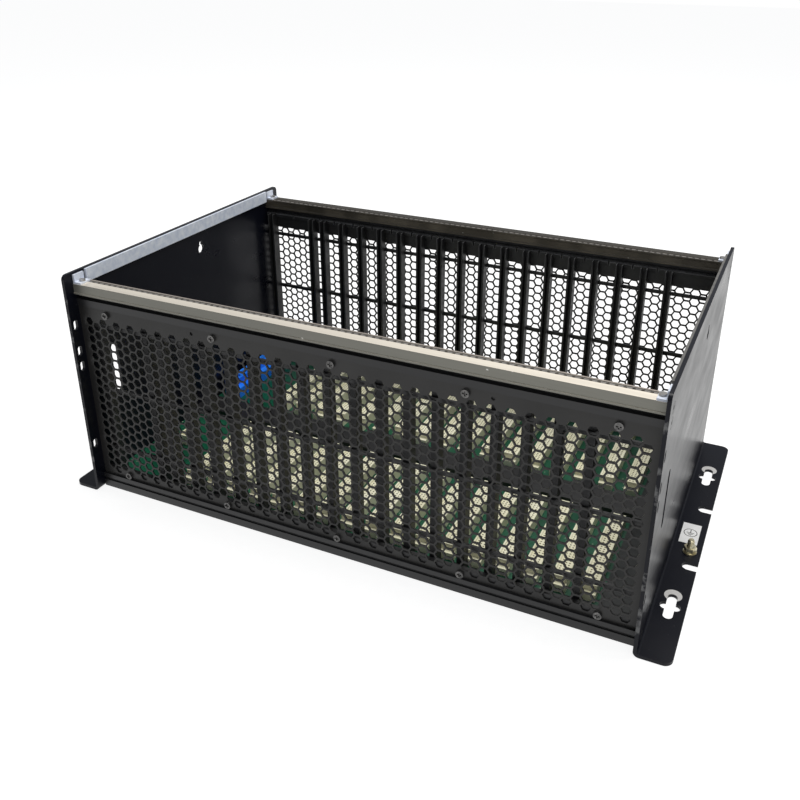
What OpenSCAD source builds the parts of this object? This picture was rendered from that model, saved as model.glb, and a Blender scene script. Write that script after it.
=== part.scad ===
/* [Overall size] */
// width over the two side plates
body_w = 438.6; // [240:1:520]
// length of a side plate, along the card height
plate_l = 284; // [160:1:460]
// depth of the cage, rear flange to open front
cage_d = 186; // [150:1:320]
// sheet thickness of the side plates
plate_t = 2.5; // [1.5:0.1:4]
// radius of the plate corners at the open front
plate_corner_r = 4; // [1:0.5:8]

/* [Rear mounting flanges] */
// how far a flange stands out from its side plate
flange_w = 22; // [16:0.5:40]
// inside bend radius of a flange
bend_r = 1.5; // [0.5:0.5:4]
// radius of the outer flange corners
flange_corner_r = 6; // [1:0.5:9]
// distance between the two keyholes of a flange
key_pitch = 173; // [90:1:240]
// centre line of the keyholes from the side plate
key_out = 11.4; // [9:0.2:14]
// half width of the narrow keyhole slot
key_slot_r = 3.3; // [2:0.1:3.6]
// length of the narrow keyhole slot
key_slot_l = 26; // [20:0.5:34]
// radius of the two side lobes of the keyhole head
key_head_r = 3.9; // [3.4:0.1:4.4]
// offset of the side lobes from the centre line
key_lobe = 3.1; // [2:0.1:4]
// distance between the two open notches of a flange
notch_pitch = 76.2; // [60:0.2:90]
// width of an open notch
notch_w = 9; // [6:0.5:12]
// end of the notch from the side plate
notch_end = 11.2; // [9:0.2:16]
// shift of the hole pattern along the flange
pattern_shift = -1.5; // [-4:0.5:4]

/* [Side plate openings] */
// width of the small edge slots
edge_slot_w = 4; // [2:0.5:5]
// height of the small edge slots
edge_slot_h = 8; // [5:0.5:12]
// centre of the edge slots from the plate edge
edge_slot_in = 4.5; // [3.6:0.1:5]
// height of the lowest edge slot
edge_slot_za = 42.5; // [20:0.5:80]
// height of the second edge slot
edge_slot_zb = 111; // [95:0.2:113]
// height of the third edge slot
edge_slot_zc = 123.8; // [122:0.2:130]
// height of the top edge slot
edge_slot_zd = 145.2; // [140:0.2:160]
// width of the tall slot
tall_slot_w = 7; // [4:0.5:12]
// height of the tall slot
tall_slot_h = 43; // [20:1:60]
// height of the middle of the tall slot
tall_slot_z = 94.8; // [80:0.5:110]
// tall slot from the plate edge
tall_slot_in = 39.5; // [30:0.5:60]
// keyhole slot in the plate, round part below the plate top
key_eye_drop = 27.5; // [26:0.5:50]
// keyhole slot in the plate, place along the plate
key_eye_y = 17.5; // [-40:0.5:40]
// radius of its round part
key_eye_r = 4; // [3:0.1:4.5]
// radius of its narrow part
key_neck_r = 2.3; // [1.5:0.1:2.6]
// rise of its narrow part over the round one
key_neck_up = 5; // [4:0.1:6]

/* [Front rails] */
// inset of the rails from the plate edges
rail_in = 8; // [6.5:0.5:14]
// width of a front rail
rail_w = 12.5; // [11:0.5:20]
// height of a front rail
rail_h = 8; // [7:0.5:12]
// rail face below the plate top edge
rail_drop = 8.5; // [6:0.5:14]
// width of the groove for the hole strip
strip_w = 3.4; // [3:0.1:5]
// depth of that groove
strip_groove = 2.2; // [2:0.1:3.5]
// wall between the groove and the bay
strip_wall = 1.4; // [1:0.1:2.5]
// thickness of the hole strip
strip_t = 1.8; // [1:0.1:1.9]
// hole pitch, one horizontal unit
hp = 5.08; // [4:0.01:8]
// least distance of a strip hole from the side plate
strip_end = 5.5; // [4:0.1:12]
// radius of the strip holes
strip_hole_r = 1.1; // [0.8:0.05:1.4]
// how far the outer lip of a rail stands out
rail_lip = 0.6; // [0.3:0.1:0.9]
// height of that lip
rail_lip_h = 1.1; // [0.6:0.1:2]
// relief of the inner face of a rail
rail_relief = 0.5; // [0.2:0.1:0.8]
// band left over and under that relief
rail_band = 1.2; // [0.8:0.1:2]
// depth of the seat for a corner bracket
seat_d = 0.3; // [0.2:0.05:0.35]
// play round a seated bracket
seat_play = 0.2; // [0.1:0.05:0.4]

/* [Guide carriers] */
// inset of the carriers from the plate edges
carrier_in = 9.5; // [8.5:0.5:16]
// gap between a rail and the carrier under it
carrier_gap = 4.2; // [2:0.1:8]
// height of the visible carrier band
carrier_band = 5.3; // [4:0.1:8]
// height of the leg behind the grille
carrier_leg = 9.5; // [8:0.5:10]
// thickness of the web up to the rail
web_t = 1.5; // [1:0.1:2.5]
// web from the inner face of the carrier
web_in = 2; // [1:0.1:3]

/* [Perforated grilles] */
// inset of the grilles from the plate edges
grille_in = 10; // [9.5:0.5:16]
// sheet thickness of a grille
grille_t = 1.2; // [0.8:0.1:2]
// lower edge of a grille
grille_z0 = 10.5; // [9:0.5:14]
// width across flats of a cell
cell_af = 12.6; // [6:0.1:12.8]
// web between two cells
cell_web = 1.8; // [1:0.1:2]
// plain border under the cells
cell_low = 5.1; // [4:0.1:8]
// least plain border over the cells
cell_high = 9.3; // [8:0.1:14]
// least plain border beside the cells
cell_side = 3.7; // [3:0.1:12]
// plain sheet kept round a lower screw hole
cell_margin = 3; // [2.5:0.1:5]
// outer grille screws from the side plates
grille_screw_side = 25.8; // [10:0.2:40]
// upper grille screws below the grille's upper edge
grille_screw_down = 4.4; // [3.5:0.1:6]
// lower grille screws over the grille's lower edge
grille_screw_up = 5.4; // [5.3:0.1:5.6]
// spare holes beside the second and fourth screw
spare_off = 18; // [10:0.5:30]
// radius of the spare holes
spare_r = 1.4; // [1:0.1:1.6]

/* [Card guides] */
// card pitch, four horizontal units
guide_pitch = 20.32; // [18:0.01:20.4]
// first regular guide from the left side plate
bay_left = 65.6; // [60:0.1:90]
// least room between the last guide and the right side plate
bay_right = 42; // [20:0.5:42.8]
// inner guide of the wide bay, beside the first regular guide
wide_step = 12.6; // [11:0.1:16]
// outer guide of the wide bay from the left side plate
wide_in = 8; // [5:0.1:12]
// body width of a guide
guide_w = 5.5; // [4.5:0.1:6]
// body depth of a guide
guide_d = 8.5; // [7:0.1:10]
// width of the card groove
groove_w = 2.3; // [1.6:0.1:2.6]
// depth of the card groove
groove_d = 5; // [3:0.1:6]
// height left closed at the foot of a groove
groove_up = 3; // [2:0.1:8]
// height of the flared groove mouth
lead_h = 7; // [3:0.5:12]
// wall left beside the flared mouth
lead_wall = 0.6; // [0.4:0.1:1.2]
// top of the guides below the carrier top
guide_drop = 1; // [0.5:0.1:4]
// span of the lead-in wings of a guide
wing_span = 19; // [12:0.1:19.5]
// height of the lead-in wings
wing_h = 3.4; // [2:0.1:6]
// depth of the lead-in wings
wing_d = 2.2; // [1:0.1:4]
// gap between two wings that meet
wing_gap = 0.6; // [0.4:0.1:2]
// gap between an end wing and the side plate
wing_end = 0.4; // [0.3:0.1:2]
// height of the low guide bar
bar_low = 36; // [22:0.2:70]
// height of the middle guide bar
bar_mid = 89; // [74:0.2:120]
// high guide bar below the guide tops
bar_high_drop = 21.1; // [14:0.1:36]
// height of a guide bar
bar_h = 2.8; // [1.5:0.1:5]
// thickness of a guide bar
bar_t = 2; // [1:0.1:3]
// inset of the bars from the plate edges
bar_in = 14.7; // [14:0.1:18]

/* [Rear rails and backplane] */
// clearance under the rear rails
rear_lift = 1; // [0.5:0.1:2]
// height of the shelf that carries the backplane
shelf_z = 6.3; // [5:0.1:7]
// top of the outer lip
lip_z = 13; // [11:0.1:14]
// top of the upstand behind the grille
upstand_z = 19; // [18:0.1:20]
// inner edge of the rear rail from the plate edge
rear_inner = 27; // [24:0.5:30]
// half width of the middle rail cap
mid_half = 12; // [8:0.5:14]
// top of the middle rail
mid_top = 15; // [13:0.1:18]
// half width of the middle rail web
mid_web = 3; // [2:0.1:5]
// thickness of the backplane boards
board_t = 3; // [1.6:0.1:3.2]
// gap between a connector and the card guides
conn_out = 2.6; // [1:0.1:8]
// gap between a connector and the cap of the middle rail
conn_in = 7.2; // [2:0.1:20]
// width of a connector
conn_w = 11; // [8:0.1:13]
// height of a connector above its board
conn_h = 10.7; // [8:0.1:14]
// connector centre beside its guide
conn_off = 5.5; // [4:0.1:7]
// length of a connector end ear
ear_l = 4; // [3:0.1:8]
// height of a connector end ear
ear_h = 5.9; // [3:0.1:8]
// wall of a connector
conn_wall = 1.3; // [0.8:0.1:2.5]
// depth of the recess for the contacts
conn_recess = 1.2; // [0.6:0.1:3]
// terminal block, width
block_w = 16; // [10:0.5:20]
// terminal block, length
block_l = 92; // [40:0.5:103]
// gap between the block and the card guides
block_gap = 0.3; // [0.2:0.1:3]
// gap between the block and the side plate
block_side = 6.3; // [0.5:0.1:8]
// terminal block, height
block_h = 15.5; // [8:0.5:20]
// terminal block, number of ways
block_n = 9; // [3:1:12]
// terminal block, width of its high part
block_step_w = 9.9; // [8:0.1:12]
// terminal block, height of its low part
block_step_h = 9.6; // [5:0.1:14]
// terminal block, radius of a screw well
well_r = 2.4; // [1.6:0.1:2.6]
// terminal block, depth of a screw well
well_d = 3; // [1.5:0.1:5]
// terminal block, screw wells from its outer face
well_in = 5; // [4.5:0.1:6]
// terminal block, groove between two ways
way_groove = 0.8; // [0.4:0.1:1.4]
// terminal block, depth of that groove
way_groove_d = 1.5; // [0.6:0.1:2.5]
// power header from the left side plate
header_in = 28; // [20:0.5:34]
// power header from the middle of the cage
header_mid = 61; // [30:0.5:80]
// power header, length across the cage
header_l = 12; // [8:0.5:14]
// power header, width
header_w = 10; // [6:0.5:12]
// power header, height
header_h = 9; // [6:0.5:12]
// wall of the power header
header_wall = 1.2; // [0.8:0.1:2]

/* [Zinc parts] */
// height of the edge strips
edge_h = 10; // [6:0.5:10]
// thickness of the edge strips
edge_t = 1.8; // [1:0.1:3]
// top of the edge strips below the plate top
edge_drop = 0.8; // [0.5:0.1:4]
// leg of a corner bracket
bracket_leg = 7; // [5:0.5:7]
// width of a corner bracket
bracket_w = 10; // [8:0.5:11]
// sheet of a corner bracket
bracket_t = 1.5; // [1:0.1:2]
// bracket from the outer edge of the rail
bracket_edge = 0.5; // [0:0.1:1]
// bracket screw from the side plate
bracket_screw_in = 4.4; // [4.2:0.1:4.6]
// radius of a bracket screw head
bracket_head_r = 2.3; // [1.8:0.1:2.4]

/* [Earth point] */
// earth stud from the side plate
stud_out = 14; // [12:0.2:15]
// earth stud along the flange
stud_y = -22.8; // [-24:0.1:-22]
// radius of the earth stud
stud_r = 2.5; // [2:0.1:3]
// free height of the earth stud
stud_h = 11; // [8:0.5:16]
// width across flats of the nut
nut_af = 8; // [7:0.1:9]
// height of the nut
nut_h = 3.2; // [2:0.1:4]
// radius of the washers
washer_r = 5; // [4:0.1:5.4]
// thickness of a washer
washer_t = 0.9; // [0.6:0.1:1.2]
// radius of the stud where the nut clamps
stud_neck_r = 2.3; // [1.8:0.1:2.4]
// end of the clamped part over the nut
stud_clear = 0.5; // [0.2:0.1:1]
// label size along the flange
label_l = 26; // [10:0.5:28]
// label size across the flange
label_w = 13.4; // [8:0.1:14]
// label thickness
label_t = 0.3; // [0.2:0.05:0.5]
// near edge of the label along the flange
label_y = -13.4; // [-14:0.1:-13]
// label edge from the side plate
label_out = 4.2; // [4:0.1:6]

/* [Screws] */
// radius of a grille screw head
pan_r = 2.8; // [2.2:0.1:2.9]
// height of a grille screw head
pan_h = 1.8; // [1:0.1:2.4]
// radius of a countersunk frame screw head
csk_r = 3.6; // [2.8:0.1:3.8]
// height of the countersunk head
csk_h = 1.7; // [1:0.1:2]
// radius of a frame screw core
core_r = 1.6; // [1.2:0.1:1.8]
// depth of a frame screw in its rail
core_l = 8; // [5:0.5:10]
// play around a screw in a sheet hole
screw_play = 0.3; // [0.1:0.05:0.5]
// rail screws from the outer face of a rail
rail_screw_in = 5; // [4:0.1:6]
// rail screws over the underside of a rail
rail_screw_up = 3.1; // [3:0.1:3.4]
// carrier screws from the inner face of a carrier
carrier_screw_in = 3.6; // [3:0.1:4]
// rear screws from the back of the guide bars
rear_screw_out = 2.3; // [2:0.1:2.6]
// rear screws over the backplane shelf
rear_screw_up = 1.7; // [1:0.1:2.2]
// board screws from the inner edge of the rear rail
board_screw_in = 5; // [4:0.1:6]
// board screws beside the middle of two guides
board_screw_side = 2.5; // [1:0.1:4]
// number of card guides from one board screw to the next
board_screw_step = 4; // [2:1:6]

/* [Hidden] */
$fn = 0;
$fa = 6;
$fs = 0.4;
inner_w = body_w - 2 * plate_t;
ix = inner_w / 2;
ox = body_w / 2;
py = plate_l / 2;
rail_top = cage_d - rail_drop;
rail_bot = rail_top - rail_h;
carrier_top = rail_bot - carrier_gap;
key_eye_z = cage_d - key_eye_drop;
strip_n = floor((inner_w - 2 * strip_end) / hp) + 1;
rail_y1 = py - rail_in;
rail_y0 = rail_y1 - rail_w;
grille_out = py - grille_in;
grille_y = grille_out - grille_t;
grille_z1 = carrier_top - carrier_band;
carrier_out = py - carrier_in;
bar_out = py - bar_in;
guide_out = bar_out - bar_t;
guide_in = guide_out - guide_d;
guide_top = carrier_top - guide_drop;
bar_high = guide_top - bar_high_drop;
guide_x0 = -ix + bay_left;
guide_n = floor((inner_w - bay_left - bay_right) / guide_pitch) + 1;
wide_x1 = guide_x0 - wide_step;
wide_x0 = -ix + wide_in;
grille_screw_pitch = (ix - grille_screw_side) / 2;
grille_screw_top = grille_z1 - grille_screw_down;
grille_screw_low = grille_z0 + grille_screw_up;
spare_x = grille_screw_pitch + spare_off;
carrier_leg_in = guide_out;
rear_out = py - rail_in;
rear_in = py - rear_inner;
board_top = shelf_z + board_t;
board_out = guide_out - 0.3;
pitch_z = cell_af + cell_web;
pitch_x = pitch_z * cos(30);
cell_r = cell_af / sqrt(3);
cell_z0 = grille_z0 + cell_low + cell_af / 2;
cell_rows = floor((grille_z1 - cell_high - cell_z0 - cell_af / 2 - pitch_z / 2) / pitch_z) + 1;
cell_cols = floor((inner_w - 2 * cell_side - 2 * cell_r) / pitch_x) + 1;
conn_l = guide_in - conn_out - mid_half - conn_in;
conn_y = mid_half + conn_in + conn_l / 2;
rear_screw_z = shelf_z + rear_screw_up;
bracket_x = ix - bracket_screw_in;
bracket_y0 = rail_y1 - bracket_edge - bracket_w;
bracket_y = bracket_y0 + bracket_w / 2;
seat_z = rail_top - seat_d;
nut_z = 2 * washer_t;
neck_h = nut_z + nut_h + stud_clear;
eps = 0.01;

module side(sgn) {
  if (sgn > 0) children();
  else mirror([1, 0, 0]) children();
}

module far(sgn) {
  if (sgn > 0) children();
  else mirror([0, 1, 0]) children();
}

// section of a bent plate, on the positive side, x to the right, y up
module plate_section() {
  bo = bend_r + plate_t;
  difference() {
    union() {
      translate([ix, bo - eps]) square([plate_t, cage_d - bo + eps]);
      translate([ix + bo - eps, 0]) square([plate_t + flange_w - bo + eps, plate_t]);
      difference() {
        translate([ix, 0]) square([bo, bo]);
        translate([ix + bo, bo]) circle(r = bend_r);
        translate([ix + plate_t, bo]) square([bo, bo]);
        translate([ix + bo, plate_t]) square([bo, bo]);
      }
    }
    difference() {
      translate([ix - 1, -1]) square([bo + 1, bo + 1]);
      translate([ix + bo, bo]) circle(r = bo);
    }
  }
}

module plate_outline() {
  r = plate_corner_r;
  union() {
    translate([-py, 0]) square([plate_l, cage_d - r]);
    translate([-py + r, cage_d - r - 1]) square([plate_l - 2 * r, r + 1]);
    translate([-py + r, cage_d - r]) circle(r = r);
    translate([py - r, cage_d - r]) circle(r = r);
  }
}

module flange_outline() {
  r = flange_corner_r;
  xo = ox + flange_w;
  union() {
    translate([ix - 1, -py]) square([xo - r - ix + 1, plate_l]);
    translate([ix, -py + r]) square([xo - ix, plate_l - 2 * r]);
    translate([xo - r, -py + r]) circle(r = r);
    translate([xo - r, py - r]) circle(r = r);
  }
}

module keyhole() {
  sl = key_slot_l / 2 - key_slot_r;
  union() {
    translate([-key_slot_r, -sl]) square([2 * key_slot_r, 2 * sl]);
    translate([0, -sl]) circle(r = key_slot_r);
    translate([0, sl]) circle(r = key_slot_r);
    translate([-key_lobe, 0]) circle(r = key_head_r);
    translate([key_lobe, 0]) circle(r = key_head_r);
  }
}

module notch() {
  r = notch_w / 2;
  union() {
    circle(r = r);
    translate([0, -r]) square([flange_w, notch_w]);
  }
}

module flange_holes() {
  translate([ox + key_out, pattern_shift + key_pitch / 2]) keyhole();
  translate([ox + key_out, pattern_shift - key_pitch / 2]) keyhole();
  translate([ox + notch_end + notch_w / 2, pattern_shift + notch_pitch / 2]) notch();
  translate([ox + notch_end + notch_w / 2, pattern_shift - notch_pitch / 2]) notch();
}

module long_hole(w, h) {
  r = w / 2;
  union() {
    translate([-r, -h / 2 + r]) square([w, h - w]);
    translate([0, -h / 2 + r]) circle(r = r);
    translate([0, h / 2 - r]) circle(r = r);
  }
}

// openings of the upright plate, x = along the plate, y = height
module plate_holes() {
  for (z = [edge_slot_za, edge_slot_zb, edge_slot_zc, edge_slot_zd])
    translate([-py + edge_slot_in, z]) long_hole(edge_slot_w, edge_slot_h);
  translate([-py + tall_slot_in, tall_slot_z]) long_hole(tall_slot_w, tall_slot_h);
  translate([key_eye_y, key_eye_z]) circle(r = key_eye_r);
  translate([key_eye_y, key_eye_z + key_neck_up]) circle(r = key_neck_r);
}

module frame_screw_cut() {
  rotate([0, 90, 0]) {
    translate([0, 0, -1]) cylinder(r = core_r + screw_play, h = plate_t + 2);
    translate([0, 0, plate_t - csk_h]) cylinder(r = csk_r + screw_play, h = csk_h + 1);
  }
}

module frame_screw() {
  rotate([0, 90, 0]) {
    translate([0, 0, -core_l]) cylinder(r = core_r, h = core_l + plate_t - csk_h);
    translate([0, 0, plate_t - csk_h]) difference() {
      cylinder(r = csk_r, h = csk_h);
      translate([0, 0, csk_h - 1]) cylinder(r = 1.45, h = 2, $fn = 6);
    }
  }
}

// places of the seven frame screws of one side
module frame_screw_places() {
  for (s = [-1, 1]) {
    translate([ix, s * (rail_y1 - rail_screw_in), rail_bot + rail_screw_up]) children();
    translate([ix, s * (guide_out + carrier_screw_in), carrier_top - carrier_band / 2]) children();
    translate([ix, s * (bar_out + rear_screw_out), rear_screw_z]) children();
  }
  translate([ix, 0, rear_screw_z]) children();
}

// blind bores for the frame screws at both ends of a cross member
module frame_screw_bores() {
  for (m = [-1, 1])
    side(m) frame_screw_places()
      rotate([0, -90, 0]) translate([0, 0, -1]) cylinder(r = core_r + screw_play, h = core_l + 1.5);
}

module side_plate() {
  difference() {
    intersection() {
      translate([0, py, 0]) rotate([90, 0, 0]) linear_extrude(plate_l) plate_section();
      union() {
        translate([ix - 1, 0, 0]) rotate([90, 0, 90]) linear_extrude(plate_t + 1) plate_outline();
        translate([ix - 1, -py, -1]) cube([flange_w + 10, plate_l, plate_t + bend_r + 1]);
      }
      translate([0, 0, -1]) linear_extrude(cage_d + 2) flange_outline();
    }
    translate([0, 0, -1]) linear_extrude(plate_t + 2) flange_holes();
    translate([ix - 1, 0, 0]) rotate([90, 0, 90]) linear_extrude(plate_t + 2) plate_holes();
    frame_screw_places() frame_screw_cut();
  }
}

// lays a section (y, z) along the width between the plates
module across(w) {
  translate([-w / 2, 0, 0]) rotate([90, 0, 90]) linear_extrude(w) children();
}

module front_rail() {
  g0 = rail_y0 + strip_wall;
  g1 = g0 + strip_w;
  difference() {
    across(inner_w) polygon([
      [rail_y0, rail_bot],
      [rail_y1 + rail_lip, rail_bot],
      [rail_y1 + rail_lip, rail_bot + rail_lip_h],
      [rail_y1, rail_bot + rail_lip_h],
      [rail_y1, rail_top],
      [g1, rail_top],
      [g1, rail_top - strip_groove],
      [g0, rail_top - strip_groove],
      [g0, rail_top],
      [rail_y0, rail_top],
      [rail_y0, rail_top - rail_band],
      [rail_y0 + rail_relief, rail_top - rail_band - rail_relief],
      [rail_y0 + rail_relief, rail_bot + rail_band + rail_relief],
      [rail_y0, rail_bot + rail_band]
    ]);
    frame_screw_bores();
    for (m = [-1, 1]) side(m) {
      translate([bracket_x, bracket_y, rail_top - 3.2]) cylinder(r = 1.5, h = 4);
      translate([ix - bracket_leg - seat_play, bracket_y0 - seat_play, seat_z])
        cube([bracket_leg + 1, bracket_w + bracket_edge + 1, 2]);
    }
  }
}

module hole_strip() {
  w = strip_w - 0.2;
  y = rail_y0 + strip_wall + strip_w / 2;
  z = rail_top - strip_groove;
  difference() {
    translate([-inner_w / 2 + 0.5, y - w / 2, z]) cube([inner_w - 1, w, strip_t]);
    for (i = [0 : strip_n - 1])
      translate([(i - (strip_n - 1) / 2) * hp, y, z - 1]) cylinder(r = strip_hole_r, h = strip_t + 2);
  }
}

module guide_carrier() {
  zb = grille_z1;
  difference() {
    across(inner_w) polygon([
      [guide_out + web_in, carrier_top],
      [guide_out, carrier_top],
      [guide_out, zb - carrier_leg],
      [grille_y, zb - carrier_leg],
      [grille_y, zb],
      [carrier_out, zb],
      [carrier_out, carrier_top],
      [guide_out + web_in + web_t, carrier_top],
      [guide_out + web_in + web_t, rail_bot],
      [guide_out + web_in, rail_bot]
    ]);
    frame_screw_bores();
    grille_screw_bores(grille_screw_top);
  }
}

module rear_rail() {
  difference() {
    across(inner_w) polygon([
      [rear_in, rear_lift],
      [rear_out, rear_lift],
      [rear_out, shelf_z + 0.7],
      [rear_out - 1.2, shelf_z + 0.7],
      [rear_out - 1.2, lip_z - 3.5],
      [rear_out, lip_z - 3.5],
      [rear_out, lip_z],
      [grille_out, lip_z],
      [grille_out, grille_z0],
      [grille_y, grille_z0],
      [grille_y, upstand_z],
      [bar_out, upstand_z],
      [bar_out, shelf_z],
      [rear_in, shelf_z]
    ]);
    frame_screw_bores();
    grille_screw_bores(grille_screw_low);
    board_screw_places() translate([0, 0, -4]) cylinder(r = 1.5, h = 5);
  }
}

module middle_rail() {
  difference() {
    across(inner_w) polygon([
      [-mid_half - 2, rear_lift],
      [mid_half + 2, rear_lift],
      [mid_half + 2, shelf_z],
      [mid_web, shelf_z],
      [mid_web, board_top + 0.3],
      [mid_half, board_top + 0.3],
      [mid_half, mid_top],
      [-mid_half, mid_top],
      [-mid_half, board_top + 0.3],
      [-mid_web, board_top + 0.3],
      [-mid_web, shelf_z],
      [-mid_half - 2, shelf_z]
    ]);
    frame_screw_bores();
  }
}

// places of the five grille screws at one height, on the outer face
module grille_screw_places(z) {
  for (i = [-2 : 2])
    translate([i * grille_screw_pitch, grille_out, z]) rotate([-90, 0, 0]) children();
}

module grille_screw_bores(z) {
  grille_screw_places(z) translate([0, 0, -4]) cylinder(r = 1.5, h = 6);
}

module grille() {
  difference() {
    translate([0, grille_out, 0]) rotate([90, 0, 0]) linear_extrude(grille_t) difference() {
      translate([-ix, grille_z0]) square([inner_w, grille_z1 - grille_z0]);
      for (c = [0 : cell_cols - 1])
        for (r = [0 : cell_rows - 1]) {
          x = (c - (cell_cols - 1) / 2) * pitch_x;
          z = cell_z0 + r * pitch_z + (c % 2 == 0 ? pitch_z / 2 : 0);
          k = round(x / grille_screw_pitch);
          near_screw = abs(x - k * grille_screw_pitch) < cell_r + cell_margin
            && abs(z - grille_screw_low) < cell_af / 2 + cell_margin;
          if (!near_screw) translate([x, z]) circle(r = cell_r, $fn = 6);
        }
      for (m = [-1, 1]) translate([m * spare_x, grille_screw_top]) circle(r = spare_r);
    }
    grille_screw_bores(grille_screw_top);
    grille_screw_bores(grille_screw_low);
  }
}

module pan_screw(shank) {
  translate([0, 0, -shank]) cylinder(r = 1.2, h = shank + eps);
  difference() {
    cylinder(r = pan_r, h = pan_h);
    translate([-0.5, -1.7, pan_h - 0.9]) cube([1, 3.4, 2]);
    translate([-1.7, -0.5, pan_h - 0.9]) cube([3.4, 1, 2]);
  }
}

module grille_screws() {
  grille_screw_places(grille_screw_top) pan_screw(4);
  grille_screw_places(grille_screw_low) pan_screw(4);
}

// one card guide standing at x = 0 with its back at guide_out
module card_guide(wing_left, wing_right) {
  yb = guide_out;
  yi = guide_in;
  foot = board_top;
  difference() {
    union() {
      translate([-guide_w / 2, yi, foot]) cube([guide_w, guide_d, guide_top - foot]);
      translate([-wing_left, yb - wing_d, guide_top - wing_h]) cube([wing_left + wing_right, wing_d, wing_h]);
    }
    translate([-groove_w / 2, yi - 1, foot + groove_up]) cube([groove_w, groove_d + 1, guide_top]);
    translate([0, yi + groove_d, 0]) rotate([90, 0, 0]) linear_extrude(groove_d + 1) polygon([
      [-groove_w / 2, guide_top - lead_h],
      [groove_w / 2, guide_top - lead_h],
      [guide_w / 2 - lead_wall, guide_top + 1],
      [-guide_w / 2 + lead_wall, guide_top + 1]
    ]);
  }
}

module card_guides() {
  w = wing_span / 2;
  last = guide_x0 + (guide_n - 1) * guide_pitch;
  gap = (guide_x0 - wide_x1 - wing_gap) / 2;
  bay = (wide_x1 - wide_x0 - wing_gap) / 2;
  for (i = [0 : guide_n - 1])
    translate([guide_x0 + i * guide_pitch, 0, 0])
      card_guide(i == 0 ? gap : w, i == guide_n - 1 ? ix - last - wing_end : w);
  translate([wide_x1, 0, 0]) card_guide(bay, gap);
  translate([wide_x0, 0, 0]) card_guide(wide_in - wing_end, bay);
}

module guide_bars() {
  for (z = [bar_low, bar_mid, bar_high])
    translate([-ix, guide_out, z - bar_h / 2]) cube([inner_w, bar_t, bar_h]);
}

// places of the screws that hold a board on its rear rail
module board_screw_places() {
  for (i = [0 : board_screw_step : guide_n - 1])
    translate([guide_x0 + (0.5 + i) * guide_pitch - board_screw_side, rear_in + board_screw_in, shelf_z])
      children();
}

module backplane() {
  difference() {
    translate([-ix + 0.5, mid_web + 0.3, shelf_z]) cube([inner_w - 1, board_out - mid_web - 0.3, board_t]);
    board_screw_places() translate([0, 0, -1]) cylinder(r = 1.5, h = board_t + 2);
  }
}

module board_screws() {
  board_screw_places() translate([0, 0, board_t]) pan_screw(board_t + 3.5);
}

module connector() {
  body_l = conn_l - 2 * ear_l;
  difference() {
    union() {
      translate([-conn_w / 2, -body_l / 2, 0]) cube([conn_w, body_l, conn_h]);
      translate([-conn_w / 2, -conn_l / 2, 0]) cube([conn_w, conn_l, ear_h]);
    }
    translate([-conn_w / 2 + conn_wall, -body_l / 2 + conn_wall, conn_h - conn_recess])
      cube([conn_w - 2 * conn_wall, body_l - 2 * conn_wall, conn_recess + 1]);
  }
}

module connectors() {
  for (i = [0 : guide_n - 1])
    translate([guide_x0 + i * guide_pitch + conn_off, conn_y, board_top]) connector();
}

module terminal_block() {
  way = block_l / block_n;
  translate([-ix + block_side, guide_in - block_gap - block_l, board_top]) difference() {
    cube([block_w, block_l, block_h]);
    translate([block_step_w, -1, block_step_h]) cube([block_w, block_l + 2, block_h]);
    for (i = [0 : block_n - 1])
      translate([well_in, (i + 0.5) * way, block_h - well_d]) cylinder(r = well_r, h = well_d + 1);
    for (i = [1 : block_n - 1])
      translate([-1, i * way - way_groove / 2, block_h - way_groove_d])
        cube([block_w + 2, way_groove, way_groove_d + 1]);
  }
}

module power_header() {
  l = header_l / 2 - header_wall;
  w = header_w / 2 - header_wall;
  translate([-ix + header_in, -header_mid, board_top]) difference() {
    translate([-header_l / 2, -header_w / 2, 0]) cube([header_l, header_w, header_h]);
    translate([-l, -w, 2]) cube([2 * l, 2 * w, header_h]);
  }
}

module edge_strip() {
  translate([ix - edge_t, -rail_y0 + 0.2, cage_d - edge_drop - edge_h])
    cube([edge_t, 2 * rail_y0 - 0.4, edge_h]);
}

module corner_bracket() {
  difference() {
    union() {
      translate([ix - bracket_t, bracket_y0, seat_z]) cube([bracket_t, bracket_w, bracket_leg]);
      translate([ix - bracket_leg, bracket_y0, seat_z]) cube([bracket_leg, bracket_w, bracket_t]);
    }
    translate([bracket_x, bracket_y, seat_z - 1]) cylinder(r = 1.5, h = 4);
  }
}

module bracket_screw() {
  translate([bracket_x, bracket_y, seat_z + bracket_t]) {
    translate([0, 0, -bracket_t - 2.4]) cylinder(r = 1.2, h = bracket_t + 2.5);
    cylinder(r = bracket_head_r, h = 1.4);
  }
}

module at_stud() {
  translate([ox + stud_out, stud_y, plate_t]) children();
}

module earth_stud() {
  at_stud() cylinder(r = stud_neck_r, h = neck_h + eps);
  at_stud() translate([0, 0, neck_h]) cylinder(r = stud_r, h = stud_h - neck_h);
}

module earth_washers() {
  for (i = [0 : 1])
    at_stud() translate([0, 0, i * washer_t]) difference() {
      cylinder(r = washer_r - i * 0.6, h = washer_t);
      translate([0, 0, -1]) cylinder(r = stud_r + 0.3, h = washer_t + 2);
    }
}

module earth_nut() {
  at_stud() translate([0, 0, nut_z]) difference() {
    cylinder(r = nut_af / sqrt(3), h = nut_h, $fn = 6);
    translate([0, 0, -1]) cylinder(r = stud_r + 0.3, h = nut_h + 2);
  }
}

module earth_label() {
  translate([ox + label_out, label_y, plate_t]) cube([label_w, label_l, label_t]);
}

module steel() { color([0.07, 0.07, 0.08]) children(); }
module bare() { color([0.7, 0.69, 0.65]) children(); }
module zinc() { color([0.72, 0.76, 0.82]) children(); }

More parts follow.
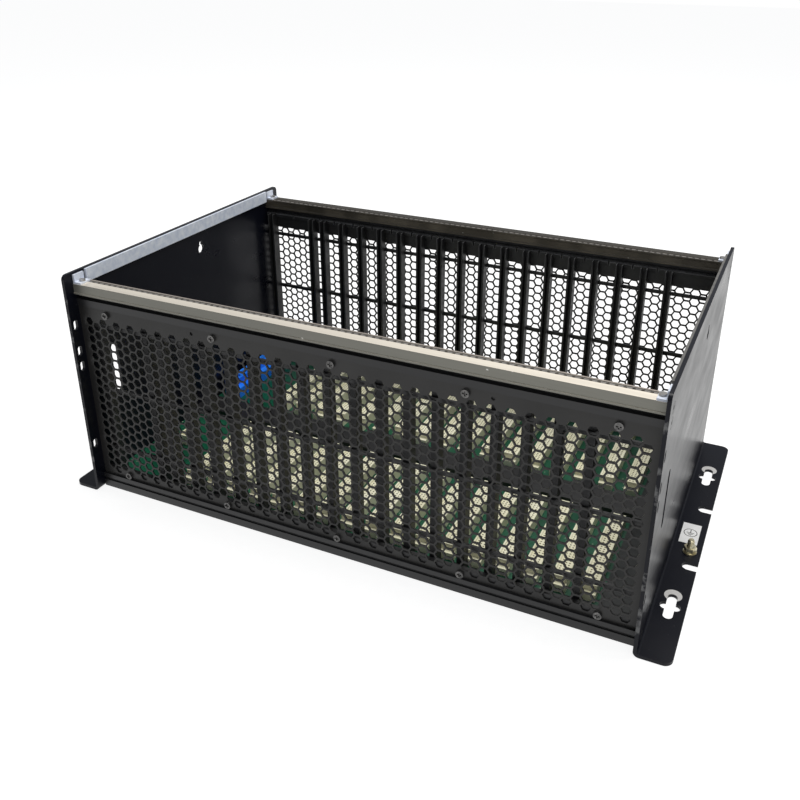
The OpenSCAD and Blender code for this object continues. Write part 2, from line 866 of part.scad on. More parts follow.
steel() side(-1) side_plate();  // side_plate_left
steel() side_plate();  // side_plate_right
bare() far(-1) front_rail();  // front_rail_near
bare() front_rail();  // front_rail_far
zinc() far(-1) hole_strip();  // hole_strip_near
zinc() hole_strip();  // hole_strip_far
steel() far(-1) guide_carrier();  // guide_carrier_near
steel() guide_carrier();  // guide_carrier_far
steel() far(-1) grille();  // grille_near
steel() grille();  // grille_far
color([0.05, 0.05, 0.05]) far(-1) card_guides();  // card_guides_near
color([0.05, 0.05, 0.05]) card_guides();  // card_guides_far
steel() far(-1) guide_bars();  // guide_bars_near
steel() guide_bars();  // guide_bars_far
steel() far(-1) rear_rail();  // rear_rail_near
steel() rear_rail();  // rear_rail_far
steel() middle_rail();  // rear_rail_middle
color([0.02, 0.25, 0.15]) far(-1) backplane();  // backplane_near
color([0.02, 0.25, 0.15]) backplane();  // backplane_far
color([0.9, 0.9, 0.85]) far(-1) connectors();  // connectors_near
color([0.9, 0.9, 0.85]) connectors();  // connectors_far
color([0.05, 0.3, 0.85]) terminal_block();
color([0.9, 0.9, 0.88]) power_header();
zinc() side(-1) edge_strip();  // edge_strip_left
zinc() edge_strip();  // edge_strip_right
zinc() for (a = [-1, 1], b = [-1, 1]) side(a) far(b) corner_bracket();  // corner_brackets
zinc() for (a = [-1, 1], b = [-1, 1]) side(a) far(b) bracket_screw();  // bracket_screws
zinc() far(-1) grille_screws();  // grille_screws_near
zinc() grille_screws();  // grille_screws_far
zinc() for (b = [-1, 1]) far(b) board_screws();
steel() side(-1) frame_screw_places() frame_screw();  // frame_screws_left
steel() frame_screw_places() frame_screw();  // frame_screws_right
color([0.8, 0.65, 0.3]) earth_stud();
color([0.8, 0.65, 0.3]) earth_washers();
color([0.8, 0.65, 0.3]) earth_nut();
color([0.95, 0.95, 0.95]) earth_label();
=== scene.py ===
import math

import bmesh
import bpy
from mathutils import Matrix, Vector


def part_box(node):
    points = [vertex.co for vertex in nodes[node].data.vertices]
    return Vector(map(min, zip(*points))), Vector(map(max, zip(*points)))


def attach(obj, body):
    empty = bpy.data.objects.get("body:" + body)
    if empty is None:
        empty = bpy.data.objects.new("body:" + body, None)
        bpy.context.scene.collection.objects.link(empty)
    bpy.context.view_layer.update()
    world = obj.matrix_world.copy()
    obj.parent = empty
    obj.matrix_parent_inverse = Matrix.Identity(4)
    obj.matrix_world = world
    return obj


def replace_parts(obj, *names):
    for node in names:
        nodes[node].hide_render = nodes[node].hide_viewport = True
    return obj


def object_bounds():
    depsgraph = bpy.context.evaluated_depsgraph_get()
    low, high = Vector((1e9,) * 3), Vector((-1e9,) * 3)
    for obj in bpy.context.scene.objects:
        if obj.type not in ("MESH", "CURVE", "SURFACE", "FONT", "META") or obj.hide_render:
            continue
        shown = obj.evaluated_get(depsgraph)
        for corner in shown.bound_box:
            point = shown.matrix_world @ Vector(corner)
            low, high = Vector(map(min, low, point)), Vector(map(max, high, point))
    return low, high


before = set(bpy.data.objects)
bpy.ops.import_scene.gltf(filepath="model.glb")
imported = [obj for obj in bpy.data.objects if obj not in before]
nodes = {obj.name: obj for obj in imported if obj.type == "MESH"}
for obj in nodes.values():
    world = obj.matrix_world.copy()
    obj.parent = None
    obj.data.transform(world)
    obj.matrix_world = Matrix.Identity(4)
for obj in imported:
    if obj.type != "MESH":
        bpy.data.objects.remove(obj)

MM = 0.001
cad_box = [list(map(float, c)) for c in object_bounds()]
scene = bpy.context.scene

# ---------- sizes of the cage that the looks follow ----------

KEYHOLE_X = 230.7 * MM              # keyholes from the middle of the cage
KEYHOLE_Y = (85 * MM, -88 * MM)     # middles of their slots
KEYHOLE_HEAD_UP = 11.8 * MM         # from the slot's middle to its round head
SCREW_SEAT_R = 6.05 * MM            # bare disc under a screw head
FLANGE_TOP = 2.5 * MM               # flange's upper face above the floor
RAIL_INNER_Y = 122.85 * MM          # where the rail's inner lip starts
BOARD_END_X = 187 * MM              # from here on the board is drawn near-black

GUIDE_PITCH = 20.32 * MM
GUIDE_COUNT = 17
GUIDE_HALF = 2.75 * MM              # half the width of a guide
GROOVE_RIM = 0.45 * MM              # width of a pale rim (rub and painted highlight), across the cage
BAY_LEFT = 65.6 * MM                # from the left plate to the first guide of the row
WIDE_STEP = 12.6 * MM               # from that guide to the next one on its left
WIDE_IN = 8 * MM                    # from the left plate to the leftmost guide
WING_REACH = 9.5 * MM               # from a guide's middle to its wing's end
WING_H = 3.4 * MM
WING_D = 2.2 * MM
WING_GAP = 0.6 * MM                 # between the wings of neighbours
WING_END = 0.4 * MM                 # between the last wing and the plate

CONNECTOR_W = 11 * MM
CONNECTOR_RECESS = 1.2 * MM
CONTACT_PITCH = 2.54 * MM
CONTACT_ROWS = 3
CONTACTS_IN_ROW = 32

BLOCK_WAYS = 9
BLOCK_WELL_IN = 5 * MM              # from the block's edge to the middle of a well
BLOCK_WELL_D = 3 * MM


# ---------- materials ----------

class Mat:
    """A procedural material: a Principled shader with object coordinates and a few helpers."""

    def __init__(self, name, rough=0.5, metal=0.0, spec=0.5):
        self.m = bpy.data.materials.new(name)
        self.m.use_nodes = True
        self.t = self.m.node_tree
        self.b = self.t.nodes["Principled BSDF"]
        self.b.inputs["Roughness"].default_value = rough
        self.b.inputs["Metallic"].default_value = metal
        self.b.inputs["Specular IOR Level"].default_value = spec
        self.co = self.t.nodes.new("ShaderNodeTexCoord").outputs["Object"]

    def link(self, a, b):
        self.t.links.new(a, b)

    def split(self, vector):
        """The x, y and z of a vector."""
        n = self.t.nodes.new("ShaderNodeSeparateXYZ")
        self.link(vector, n.inputs[0])
        return n.outputs

    def position(self):
        return self.split(self.co)

    def normal(self):
        return self.split(self.t.nodes.new("ShaderNodeNewGeometry").outputs["Normal"])

    def math(self, op, a, b=0.0):
        n = self.t.nodes.new("ShaderNodeMath")
        n.operation = op
        for i, v in enumerate((a, b)):
            if isinstance(v, (int, float)):
                n.inputs[i].default_value = v
            else:
                self.link(v, n.inputs[i])
        return n.outputs[0]

    def both(self, a, b):
        return self.math("MULTIPLY", a, b)

    def noise(self, scale, detail=3.0, stretch=(1, 1, 1)):
        p = self.t.nodes.new("ShaderNodeMapping")
        p.inputs["Scale"].default_value = stretch
        self.link(self.co, p.inputs["Vector"])
        n = self.t.nodes.new("ShaderNodeTexNoise")
        n.inputs["Scale"].default_value = scale
        n.inputs["Detail"].default_value = detail
        n.inputs["Roughness"].default_value = 0.55
        self.link(p.outputs[0], n.inputs["Vector"])
        return n.outputs["Fac"]

    def range(self, fac, a, b, lo=0.0, hi=1.0):
        n = self.t.nodes.new("ShaderNodeMapRange")
        for k, v in zip(("From Min", "From Max", "To Min", "To Max"), (a, b, lo, hi)):
            n.inputs[k].default_value = v
        self.link(fac, n.inputs["Value"])
        return n.outputs[0]

    def spread(self, fac, lo=0.0, hi=1.0):
        """The busy middle of a noise, drawn out to lo..hi."""
        return self.range(fac, 0.3, 0.7, lo, hi)

    def mix(self, fac, a, b):
        n = self.t.nodes.new("ShaderNodeMix")
        n.data_type = "RGBA"
        self.link(fac, n.inputs[0])
        for i, v in ((6, a), (7, b)):
            if isinstance(v, tuple):
                n.inputs[i].default_value = (*v, 1.0)
            else:
                self.link(v, n.inputs[i])
        return n.outputs[2]

    def color(self, out):
        self.link(out, self.b.inputs["Base Color"])

    def rough(self, out):
        self.link(out, self.b.inputs["Roughness"])

    def bump(self, out, strength=0.1, dist=0.2 * MM):
        n = self.t.nodes.new("ShaderNodeBump")
        n.inputs["Strength"].default_value = strength
        n.inputs["Distance"].default_value = dist
        self.link(out, n.inputs["Height"])
        self.link(n.outputs[0], self.b.inputs["Normal"])


def srgb(r, g, b):
    """The linear colour of an 8-bit sRGB one."""
    return tuple((v / 255 / 12.92) if v <= 10 else ((v / 255 + 0.055) / 1.055) ** 2.4
                 for v in (r, g, b))


def plain(name, c0, c1, rough=(0.4, 0.5), metal=0.0, scale=60.0, bump=0.1, spec=0.5,
          stretch=(1, 1, 1)):
    """Two near colours over a noise, a roughness that varies, and a fine bump."""
    m = Mat(name, rough=rough[0], metal=metal, spec=spec)
    m.color(m.mix(m.spread(m.noise(scale, 4.0, stretch)), c0, c1))
    m.rough(m.spread(m.noise(scale * 0.6, 3.0, stretch), *rough))
    m.bump(m.noise(scale * 12, 2.0, stretch), bump)
    return m


def screw_seats(m, x, y, z):
    """1 on the bare discs round the keyholes' heads, on the flanges' upper face."""
    across = m.math("POWER", m.math("SUBTRACT", m.math("ABSOLUTE", x), KEYHOLE_X), 2.0)
    blur = 0.1 * MM
    discs = []
    for middle in KEYHOLE_Y:
        head = middle + KEYHOLE_HEAD_UP
        along = m.math("POWER", m.math("ABSOLUTE", m.math("SUBTRACT", y, head)), 2.0)
        far = m.math("SQRT", m.math("ADD", across, along))
        discs.append(m.range(far, SCREW_SEAT_R + blur, SCREW_SEAT_R - blur))
    seat = m.math("MAXIMUM", *discs)
    seat = m.both(seat, m.range(z, FLANGE_TOP - 0.2 * MM, FLANGE_TOP - 0.05 * MM))
    return m.both(seat, m.range(z, FLANGE_TOP + 0.5 * MM, FLANGE_TOP + 0.3 * MM))


def plate_material():
    """Black stoved sheet, bare where screws seat by the keyholes, chipped along its near edge,
    where the lighter grey is also a painted highlight.
    """
    near_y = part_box("side_plate_right")[0][1]
    m = Mat("black_plate", spec=0.2)
    x, y, z = m.position()
    base = m.mix(m.spread(m.noise(9.0, 4.0)), (0.0030, 0.0036, 0.0078), (0.0055, 0.0062, 0.0115))
    dust = m.range(m.noise(420.0, 2.0), 0.70, 0.78)
    base = m.mix(m.both(dust, 0.5), base, (0.07, 0.07, 0.075))
    # painted highlight and chips: patches of the near end face turn lighter grey
    edge = m.both(m.range(y, near_y + 0.3 * MM, near_y + 0.1 * MM), m.range(z, 5 * MM, 8 * MM))
    chips_and_highlight = m.both(edge, m.range(m.noise(110.0, 4.0), 0.56, 0.66))
    base = m.mix(chips_and_highlight, base, (0.20, 0.20, 0.20))
    base = m.mix(screw_seats(m, x, y, z), base, (0.62, 0.61, 0.60))
    m.color(base)
    m.rough(m.spread(m.noise(14.0, 4.0, (1, 1, 3)), 0.26, 0.38))
    m.bump(m.noise(900.0, 2.0), 0.08, 0.1 * MM)
    return m


def darker(color, share):
    return tuple(c * share for c in color)


def rail_material(name, top, side, lip, reflected_bands=0.0):
    """Bare aluminium section: top strip, drawn side and inner lip, each given the colour it shows
    as lit, which is painted light and shade, and faint bands along it that are painted
    reflections.
    """
    m = Mat(name, spec=0.5, metal=0.45)
    x, y, z = m.position()
    up = m.range(m.normal()[2], 0.4, 0.6)
    down = m.range(m.normal()[2], 0.6, 0.4)
    streak = m.spread(m.noise(30.0, 4.0, (0.12, 4, 4)))
    # painted light and shade: upward faces take the top colour, the others the side colour
    top_col = m.mix(streak, darker(top, 0.88), top)
    side_col = m.mix(streak, darker(side, 0.72), side)
    # painted reflections of the card guides: faint dark bands along the side
    if reflected_bands:
        reflected_band = m.range(m.noise(34.0, 1.0, (1, 0.02, 0.02)), 0.42, 0.58, 1.0 - reflected_bands, 1.0)
        side_col = m.mix(reflected_band, darker(side, 0.45), side_col)
    col = m.mix(up, side_col, top_col)
    speck = m.range(m.noise(260.0, 2.0, (0.5, 1, 1)), 0.735, 0.76)
    col = m.mix(m.both(speck, down), col, (0.8, 0.78, 0.74))
    # painted light and shade: the inner lip's upward face takes its own colour as lit
    inside = m.range(m.math("ABSOLUTE", y), RAIL_INNER_Y + 0.05 * MM, RAIL_INNER_Y - 0.05 * MM)
    m.color(m.mix(m.both(up, inside), col, lip))
    m.rough(m.spread(m.noise(40.0, 3.0, (0.1, 3, 3)), 0.34, 0.5))
    m.bump(m.noise(500.0, 2.0, (0.05, 1, 1)), 0.08, 0.1 * MM)
    return m


def guide_material():
    """Black moulded plastic, paler on its upward faces, partly rubbed and partly a painted
    highlight from the light above.
    """
    m = Mat("guide_plastic", spec=0.5)
    base = m.mix(m.spread(m.noise(45.0)), (0.008, 0.008, 0.009), (0.014, 0.014, 0.015))
    # painted highlight and rub: upward faces turn paler in patches
    up = m.range(m.normal()[2], 0.5, 0.8)
    highlight_and_rub = m.both(up, m.range(m.noise(130.0), 0.3, 0.55, 0.35, 1.0))
    m.color(m.mix(highlight_and_rub, base, (0.10, 0.10, 0.105)))
    m.rough(m.spread(m.noise(70.0), 0.42, 0.58))
    m.bump(m.noise(1100.0, 2.0), 0.15, 0.1 * MM)
    return m


def board_material():
    """Green solder mask over copper tracks, drawn near-black past the last connector."""
    m = Mat("board_green", spec=0.5)
    x, y, z = m.position()
    wave = m.t.nodes.new("ShaderNodeTexWave")
    wave.bands_direction = "Y"
    wave.inputs["Scale"].default_value = 190.0
    wave.inputs["Distortion"].default_value = 0.6
    m.link(m.co, wave.inputs["Vector"])
    lines = m.range(wave.outputs["Fac"], 0.55, 0.7)
    track = m.both(lines, m.range(m.noise(26.0), 0.42, 0.5))
    col = m.mix(track, srgb(6, 66, 46), srgb(18, 92, 66))
    col = m.mix(m.range(m.noise(300.0), 0.68, 0.74), col, srgb(150, 160, 140))
    m.color(m.mix(m.range(x, BOARD_END_X, BOARD_END_X + 1 * MM), col, (0.006, 0.008, 0.008)))
    m.rough(m.spread(m.noise(50.0), 0.28, 0.42))
    m.bump(track, 0.2, 0.1 * MM)
    return m


M = {
    "plate": plate_material(),
    # painted light: the near rail's top is drawn as lit, its side and lip as shaded
    "rail": rail_material("rail_aluminium", top=(0.90, 0.83, 0.72), side=(0.26, 0.255, 0.22),
                          lip=(0.40, 0.35, 0.31)),
    # painted shade and reflections: the far rail is the same aluminium drawn darker, with
    # reflected bands
    "rail_far": rail_material("rail_aluminium_shaded", top=(0.055, 0.048, 0.037),
                              side=(0.13, 0.112, 0.085), lip=(0.055, 0.048, 0.038), reflected_bands=0.9),
    "zinc": plain("zinc_sheet", (0.62, 0.68, 0.82), (0.86, 0.90, 0.98), rough=(0.36, 0.5),
                  metal=0.1, scale=190.0, bump=0.08),
    # painted shade: the same zinc as the left strip, drawn darker
    "zinc_shaded": plain("zinc_sheet_shaded", (0.10, 0.098, 0.095), (0.17, 0.165, 0.155),
                       rough=(0.4, 0.55), metal=0.1, scale=190.0, bump=0.08),
    "strip": plain("hole_strip_steel", (0.20, 0.19, 0.18), (0.30, 0.28, 0.26),
                   metal=0.5, scale=90.0, bump=0.08),
    "black": plain("black_section", (0.009, 0.009, 0.010), (0.016, 0.016, 0.017),
                   rough=(0.36, 0.48), scale=30.0, stretch=(0.2, 1, 1)),
    "grille": plain("grille_black", (0.017, 0.0165, 0.016), (0.026, 0.025, 0.024),
                    rough=(0.38, 0.5), scale=40.0, bump=0.12, spec=0.4),
    "guide": guide_material(),
    # pale rims: rub and painted highlight on the guides' edges
    "edge": plain("highlight_and_rub_plastic", (0.04, 0.04, 0.042), (0.10, 0.10, 0.105),
                  rough=(0.4, 0.55), scale=90.0, bump=0.06),
    "board": board_material(),
    "cream": plain("connector_cream", srgb(222, 219, 188), srgb(238, 236, 212),
                   rough=(0.3, 0.4), scale=40.0, bump=0.05),
    "socket": plain("contact_sockets", (0.10, 0.09, 0.06), (0.20, 0.17, 0.10),
                    metal=0.4, scale=300.0, bump=0.05),
    "blue": plain("terminal_blue", srgb(20, 105, 235), srgb(50, 140, 250),
                  rough=(0.3, 0.4), bump=0.05),
    "screw": plain("screw_steel", (0.32, 0.31, 0.30), (0.50, 0.49, 0.47),
                   rough=(0.3, 0.42), metal=0.85, scale=150.0, bump=0.08),
    "grille_screw": plain("grille_screw_steel", (0.05, 0.05, 0.05), (0.20, 0.195, 0.19),
                          rough=(0.26, 0.4), metal=0.8, scale=420.0, bump=0.08),
    "dark_screw": plain("black_screw", (0.012, 0.012, 0.014), (0.03, 0.03, 0.032),
                        rough=(0.34, 0.46), metal=0.1, scale=150.0, bump=0.08),
    "brass": plain("brass", (0.58, 0.50, 0.30), (0.90, 0.86, 0.66),
                   rough=(0.22, 0.36), metal=0.85, scale=160.0, bump=0.08),
    "label": plain("label_film", (0.80, 0.80, 0.80), (0.90, 0.90, 0.90),
                   rough=(0.45, 0.55), scale=80.0, bump=0.04),
    "ink": plain("label_ink", (0.010, 0.010, 0.010), (0.022, 0.022, 0.022),
                 rough=(0.5, 0.6), scale=200.0, bump=0.04),
}

# which nodes of the CAD model each material dresses
DRESS = {
    "plate": ["side_plate_left", "side_plate_right"],
    "rail": ["front_rail_near"],
    "rail_far": ["front_rail_far"],
    "strip": ["hole_strip_near", "hole_strip_far"],
    "black": ["guide_carrier_near", "guide_carrier_far", "guide_bars_near", "guide_bars_far",
              "rear_rail_near", "rear_rail_far", "rear_rail_middle"],
    "grille": ["grille_near", "grille_far"],
    "guide": ["card_guides_near", "card_guides_far"],
    "board": ["backplane_near", "backplane_far"],
    "cream": ["connectors_near", "connectors_far", "power_header"],
    "blue": ["terminal_block"],
    "zinc": ["edge_strip_left", "corner_brackets"],
    # painted shade: the right strip gets the darker zinc
    "zinc_shaded": ["edge_strip_right"],
    "screw": ["bracket_screws", "board_screws"],
    "grille_screw": ["grille_screws_near", "grille_screws_far"],
    "dark_screw": ["frame_screws_left", "frame_screws_right"],
    "brass": ["earth_stud", "earth_washers", "earth_nut"],
    "label": ["earth_label"],
}

for key, names in DRESS.items():
    for name in names:
        node = nodes[name]
        if node.material_slots:
            for slot in node.material_slots:
                slot.material = M[key].m
        else:
            node.data.materials.append(M[key].m)


# ---------- helpers for the new pieces ----------

def add(name, bm, key):
    """Makes a piece of the cage from a bmesh, with a material, hung on the root body."""
    bmesh.ops.recalc_face_normals(bm, faces=bm.faces)
    me = bpy.data.meshes.new(name)
    bm.to_mesh(me)
    bm.free()
    me.materials.append(M[key].m)
    o = bpy.data.objects.new(name, me)
    scene.collection.objects.link(o)
    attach(o, "root")
    return o


def box(bm, lo, hi):
    """Adds a block between two corners."""
    lo, hi = Vector(lo), Vector(hi)
    place = Matrix.Translation((lo + hi) / 2) @ Matrix.Diagonal((*(hi - lo), 1.0))
    bmesh.ops.create_cube(bm, size=1.0, matrix=place)


def cylinder(bm, base, r, h, sides=24):
    """Adds an upright cylinder on the middle of its base."""
    bmesh.ops.create_cone(bm, cap_ends=True, segments=sides, radius1=r, radius2=r, depth=h,
                          matrix=Matrix.Translation((base[0], base[1], base[2] + h / 2)))


def ring(cx, cy, r, n):
    """The n corners of a regular polygon."""
    turns = [2 * math.pi * i / n for i in range(n)]
    return [(cx + r * math.cos(a), cy + r * math.sin(a)) for a in turns]


def sheet_mesh(loops, thick):
    """A flat sheet in the XY plane, from z = 0 to thick. The first loop is its outline."""
    cu = bpy.data.curves.new("sheet", "CURVE")
    cu.dimensions = "2D"
    cu.fill_mode = "BOTH"
    cu.extrude = thick / 2
    for loop in loops:
        spline = cu.splines.new("POLY")
        spline.points.add(len(loop) - 1)
        for point, (x, y) in zip(spline.points, loop):
            point.co = (x, y, 0.0, 1.0)
        spline.use_cyclic_u = True
    o = bpy.data.objects.new("sheet", cu)
    scene.collection.objects.link(o)
    bpy.context.view_layer.update()
    me = bpy.data.meshes.new_from_object(o.evaluated_get(bpy.context.evaluated_depsgraph_get()))
    bpy.data.objects.remove(o)
    bpy.data.curves.remove(cu)
    bm = bmesh.new()
    bm.from_mesh(me)
    bpy.data.meshes.remove(me)
    bmesh.ops.remove_doubles(bm, verts=bm.verts, dist=1e-6)
    bmesh.ops.translate(bm, verts=bm.verts, vec=(0, 0, thick / 2))
    return bm


# ---------- grilles ----------

CELL_AF = 6.2 * MM                  # a hexagonal cell, across its flats
CELL_WEB = 1.2 * MM
CELL_COLUMNS = 66
CELL_ROWS = 18
FIRST_ROW_UP = 8.2 * MM             # from the sheet's lower edge to the first row of cells
SCREW_STEP = 95.5 * MM
LOW_SCREWS_UP = 5.4 * MM
TOP_SCREWS_UP = 145.1 * MM
SCREW_LAND = (5.4 * MM, 5.8 * MM)   # no cell lies this close to a lower screw
SCREW_BORE_R = 1.5 * MM
SPARE_X = 113.5 * MM
SPARE_R = 1.4 * MM


def honeycomb(bottom):
    """The cells of a sheet with this lower edge, each as a loop of six corners."""
    step_z = CELL_AF + CELL_WEB
    step_x = step_z * math.cos(math.radians(30))
    cells = []
    for c in range(CELL_COLUMNS):
        for r in range(CELL_ROWS):
            x = (c - (CELL_COLUMNS - 1) / 2) * step_x
            z = bottom + FIRST_ROW_UP + r * step_z + (step_z / 2 if c % 2 == 0 else 0)
            beside = abs(x - round(x / SCREW_STEP) * SCREW_STEP) < SCREW_LAND[0]
            if beside and abs(z - bottom - LOW_SCREWS_UP) < SCREW_LAND[1]:
                continue
            cells.append(ring(x, z, CELL_AF / math.sqrt(3), 6))
    return cells


def fine_grille(node, name):
    """The punched sheet with its true fine honeycomb."""
    lo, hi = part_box(node)
    loops = [[(lo[0], lo[2]), (hi[0], lo[2]), (hi[0], hi[2]), (lo[0], hi[2])]]
    loops += honeycomb(lo[2])
    for i in range(-2, 3):
        for up in (LOW_SCREWS_UP, TOP_SCREWS_UP):
            loops.append(ring(i * SCREW_STEP, lo[2] + up, SCREW_BORE_R, 16))
    for x in (-SPARE_X, SPARE_X):
        loops.append(ring(x, lo[2] + TOP_SCREWS_UP, SPARE_R, 16))
    bm = sheet_mesh(loops, hi[1] - lo[1])
    upright = Matrix.Rotation(math.radians(90), 3, "X")
    bmesh.ops.rotate(bm, verts=bm.verts, cent=(0, 0, 0), matrix=upright)
    bmesh.ops.translate(bm, verts=bm.verts, vec=(0, hi[1], 0))
    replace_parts(add(name, bm, "grille"), node)


fine_grille("grille_near", "grille_near_sheet")
fine_grille("grille_far", "grille_far_sheet")


# ---------- backplane ----------

def contacts(node, name):
    """Contact sockets in the recess of each backplane connector."""
    half, sunk, proud = 0.55 * MM, 0.1 * MM, 0.06 * MM
    lo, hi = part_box(node)
    middle = (lo[1] + hi[1]) / 2
    z = hi[2] - CONNECTOR_RECESS
    bm = bmesh.new()
    for i in range(GUIDE_COUNT):
        for row in range(CONTACT_ROWS):
            x = (lo[0] + CONNECTOR_W / 2 + i * GUIDE_PITCH
                 + (row - (CONTACT_ROWS - 1) / 2) * CONTACT_PITCH)
            for k in range(CONTACTS_IN_ROW):
                y = middle + (k - (CONTACTS_IN_ROW - 1) / 2) * CONTACT_PITCH
                box(bm, (x - half, y - half, z - sunk), (x + half, y + half, z + proud))
    add(name, bm, "socket")


contacts("connectors_near", "contacts_near")
contacts("connectors_far", "contacts_far")


def block_screws():
    """Slotted clamp screws down in the wells of the terminal block."""
    head_r, head_h, slot_top = 2.1 * MM, 0.9 * MM, 1.3 * MM
    land_x, slot_half, land_y = 2.0 * MM, 0.3 * MM, 0.9 * MM
    lo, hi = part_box("terminal_block")
    way = (hi[1] - lo[1]) / BLOCK_WAYS
    x, z = lo[0] + BLOCK_WELL_IN, hi[2] - BLOCK_WELL_D
    bm = bmesh.new()
    for i in range(BLOCK_WAYS):
        y = lo[1] + (i + 0.5) * way
        cylinder(bm, (x, y, z), head_r, head_h)
        for y0, y1 in ((-land_y, -slot_half), (slot_half, land_y)):
            box(bm, (x - land_x, y + y0, z + head_h), (x + land_x, y + y1, z + slot_top))
    add("terminal_screws", bm, "screw")


block_screws()


# ---------- earth point ----------

def earth_symbol():
    """Plain earth symbol in a circle, printed on the label."""
    ink, outer, inner, up = 0.03 * MM, 5.0 * MM, 4.45 * MM, 1.0 * MM
    stem = (0.3, 0.0, 4.0)
    bars = ((2.8, -0.5, 0.1), (1.9, -1.9, -1.3), (1.0, -3.3, -2.7))
    lo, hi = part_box("earth_label")
    cx, cy, z = (lo[0] + hi[0]) / 2, (lo[1] + hi[1]) / 2 + up, hi[2]
    bm = sheet_mesh([ring(0, 0, outer, 40), ring(0, 0, inner, 40)], ink)
    bmesh.ops.translate(bm, verts=bm.verts, vec=(cx, cy, z))
    for half, y0, y1 in (stem, *bars):
        box(bm, (cx - half * MM, cy + y0 * MM, z), (cx + half * MM, cy + y1 * MM, z + ink))
    add("earth_symbol", bm, "ink")


earth_symbol()


def thread_profile(r, bottom, top):
    """Radius and height of the points up one side of a rolled thread."""
    depth, pitch, start, chamfer = 0.35 * MM, 0.8 * MM, 0.3 * MM, 0.4 * MM
    core = r - depth
    points = [(core, bottom)]
    z = bottom + start
    while z + pitch < top - chamfer:
        points += [(core, z), (r, z + 0.3 * MM), (r, z + 0.42 * MM), (core, z + 0.72 * MM)]
        z += pitch
    return points + [(core, top - 0.5 * MM), (core - chamfer, top)]


def threaded_stud():
    """The earth stud with its rolled thread."""
    sides = 28
    lo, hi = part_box("earth_stud")
    cx, cy = (lo[0] + hi[0]) / 2, (lo[1] + hi[1]) / 2
    bm = bmesh.new()
    rings = [[bm.verts.new((x, y, z)) for x, y in ring(cx, cy, r, sides)]
             for r, z in thread_profile((hi[0] - lo[0]) / 2, lo[2], hi[2])]
    for a, b in zip(rings, rings[1:]):
        for i in range(sides):
            j = (i + 1) % sides
            bm.faces.new((a[i], a[j], b[j], b[i]))
    bm.faces.new(rings[0][::-1])
    bm.faces.new(rings[-1])
    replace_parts(add("earth_stud_thread", bm, "brass"), "earth_stud")


threaded_stud()


# ---------- card guides ----------

def guide_wings(plate_x):
    """Each guide's middle, with the reach of its left and its right wing."""
    narrow = (WIDE_STEP - WING_GAP) / 2
    wide = (BAY_LEFT - WIDE_STEP - WIDE_IN - WING_GAP) / 2
    first = -plate_x + BAY_LEFT
    row = [first + i * GUIDE_PITCH for i in range(GUIDE_COUNT)]
    wings = [(x, WING_REACH, WING_REACH) for x in row]
    wings[0] = (first, narrow, WING_REACH)
    wings[-1] = (row[-1], WING_REACH, plate_x - row[-1] - WING_END)
    wings += [(first - WIDE_STEP, wide, narrow), (-plate_x + WIDE_IN, WIDE_IN - WING_END, wide)]
    return wings


def guide_edges(node, name, side):
    """Thin pale rims along the mouths and lead-in wings of the guides, partly rubbed and partly
    painted highlights where the edges catch the light.
    """
    proud, lip, mouth = 0.12 * MM, 0.75 * MM, 13 * MM
    lo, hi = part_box(node)
    top = hi[2]
    face = lo[1] if side > 0 else hi[1]
    wing = hi[1] - WING_D if side > 0 else lo[1] + WING_D
    bm = bmesh.new()

    def slab(x0, x1, y, z0, z1):
        y0, y1 = sorted((y, y - side * proud))
        box(bm, (x0, y0, z0), (x1, y1, z1))

    for x, left, right in guide_wings(hi[0] + WING_END):
        spans = ((x - left, x - GUIDE_HALF, x - left),
                 (x + GUIDE_HALF, x + right, x + right - GROOVE_RIM))
        for x0, x1, end in spans:
            slab(x0, x1, wing, top - lip, top)
            slab(end, end + GROOVE_RIM, wing, top - WING_H, top - lip)
        for x0 in (x - GUIDE_HALF, x + GUIDE_HALF - GROOVE_RIM):
            slab(x0, x0 + GROOVE_RIM, face, top - mouth, top)
    add(name, bm, "edge")


guide_edges("card_guides_near", "guide_edges_near", -1)
guide_edges("card_guides_far", "guide_edges_far", 1)


# ---------- stage ----------

def bare_tree(owner):
    """The node tree of a material or world, emptied."""
    owner.use_nodes = True
    owner.node_tree.nodes.clear()
    return owner.node_tree


def white_rays(tree, glossy):
    """1 for the rays that should see a plain white background."""
    path = tree.nodes.new("ShaderNodeLightPath")
    kinds = ["Is Transmission Ray"] + (["Is Glossy Ray"] if glossy else [])
    rays = path.outputs["Is Camera Ray"]
    for kind in kinds:
        larger = tree.nodes.new("ShaderNodeMath")
        larger.operation = "MAXIMUM"
        tree.links.new(rays, larger.inputs[0])
        tree.links.new(path.outputs[kind], larger.inputs[1])
        rays = larger.outputs[0]
    return rays


def make_floor():
    """A white floor that takes the cage's shadow."""
    half, clear, grey, glow = 6.0, 0.2 * MM, 0.30, 0.86
    me = bpy.data.meshes.new("floor")
    corners = [(-half, -half, 0), (half, -half, 0), (half, half, 0), (-half, half, 0)]
    me.from_pydata(corners, [], [(0, 1, 2, 3)])
    floor = bpy.data.objects.new("floor", me)
    floor.location.z = cad_box[0][2] - clear
    scene.collection.objects.link(floor)
    mat = bpy.data.materials.new("floor_white")
    tree = bare_tree(mat)
    out = tree.nodes.new("ShaderNodeOutputMaterial")
    diffuse = tree.nodes.new("ShaderNodeBsdfDiffuse")
    diffuse.inputs["Color"].default_value = (grey, grey, grey, 1)
    emit = tree.nodes.new("ShaderNodeEmission")
    emit.inputs["Color"].default_value = (1, 1, 1, 1)
    strength = tree.nodes.new("ShaderNodeMath")
    strength.operation = "MULTIPLY"
    strength.inputs[1].default_value = glow
    total = tree.nodes.new("ShaderNodeAddShader")
    tree.links.new(white_rays(tree, True), strength.inputs[0])
    tree.links.new(strength.outputs[0], emit.inputs["Strength"])
    tree.links.new(diffuse.outputs[0], total.inputs[0])
    tree.links.new(emit.outputs[0], total.inputs[1])
    tree.links.new(total.outputs[0], out.inputs["Surface"])
    me.materials.append(mat)


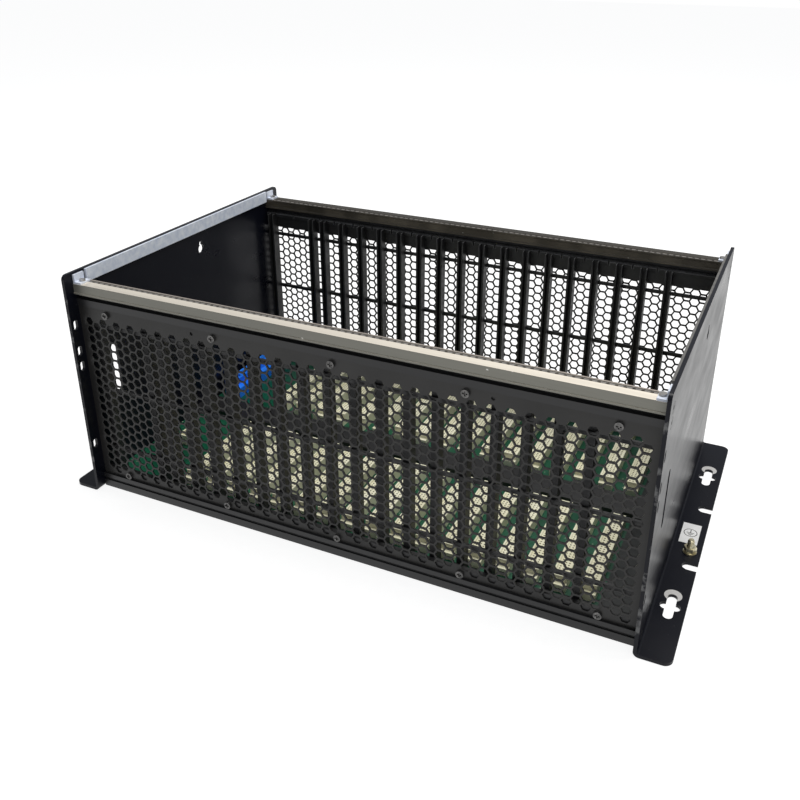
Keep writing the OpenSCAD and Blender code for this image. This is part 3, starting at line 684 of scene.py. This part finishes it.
def make_world():
    """A soft sky for the light and a white one for the camera."""
    world = bpy.data.worlds.new("studio")
    scene.world = world
    tree = bare_tree(world)
    out = tree.nodes.new("ShaderNodeOutputWorld")
    soft = tree.nodes.new("ShaderNodeBackground")
    soft.inputs["Color"].default_value = (0.93, 0.96, 1.0, 1)
    soft.inputs["Strength"].default_value = 0.38
    back = tree.nodes.new("ShaderNodeBackground")
    back.inputs["Color"].default_value = (1, 1, 1, 1)
    back.inputs["Strength"].default_value = 1.0
    choose = tree.nodes.new("ShaderNodeMixShader")
    tree.links.new(white_rays(tree, False), choose.inputs[0])
    tree.links.new(soft.outputs[0], choose.inputs[1])
    tree.links.new(back.outputs[0], choose.inputs[2])
    tree.links.new(choose.outputs[0], out.inputs["Surface"])


def area(name, pos, target, size, watts, color=(1, 1, 1)):
    """A round area lamp that points at a target."""
    lamp = bpy.data.lights.new(name, "AREA")
    lamp.shape = "DISK"
    lamp.size = size
    lamp.energy = watts
    lamp.color = color
    o = bpy.data.objects.new(name, lamp)
    o.location = pos
    o.rotation_euler = (Vector(target) - Vector(pos)).to_track_quat("-Z", "Y").to_euler()
    scene.collection.objects.link(o)


def make_camera(pos, yaw, pitch_down, roll, lens, shift):
    """The camera, with its angles in degrees."""
    data = bpy.data.cameras.new("camera")
    data.sensor_width = 36.0
    data.lens = lens
    data.shift_x, data.shift_y = shift
    data.clip_start = 0.01
    camera = bpy.data.objects.new("camera", data)
    camera.matrix_world = (Matrix.Translation(pos)
                           @ Matrix.Rotation(math.radians(yaw), 4, "Z")
                           @ Matrix.Rotation(math.radians(90 - pitch_down), 4, "X")
                           @ Matrix.Rotation(math.radians(roll), 4, "Z"))
    scene.collection.objects.link(camera)
    scene.camera = camera


make_floor()
make_world()
area("key", (0.25, 0.45, 1.7), (0, 0, 0.1), 1.1, 24.0, (1.0, 0.98, 0.94))
area("fill", (0.9, -1.5, 1.3), (0, 0, 0.08), 1.2, 7.0)
make_camera(pos=(0.2687, -0.5877, 0.4126), yaw=24.51, pitch_down=24.49, roll=0.31,
            lens=39.94, shift=(-0.0191, -0.0745))
scene.view_settings.view_transform = "Standard"
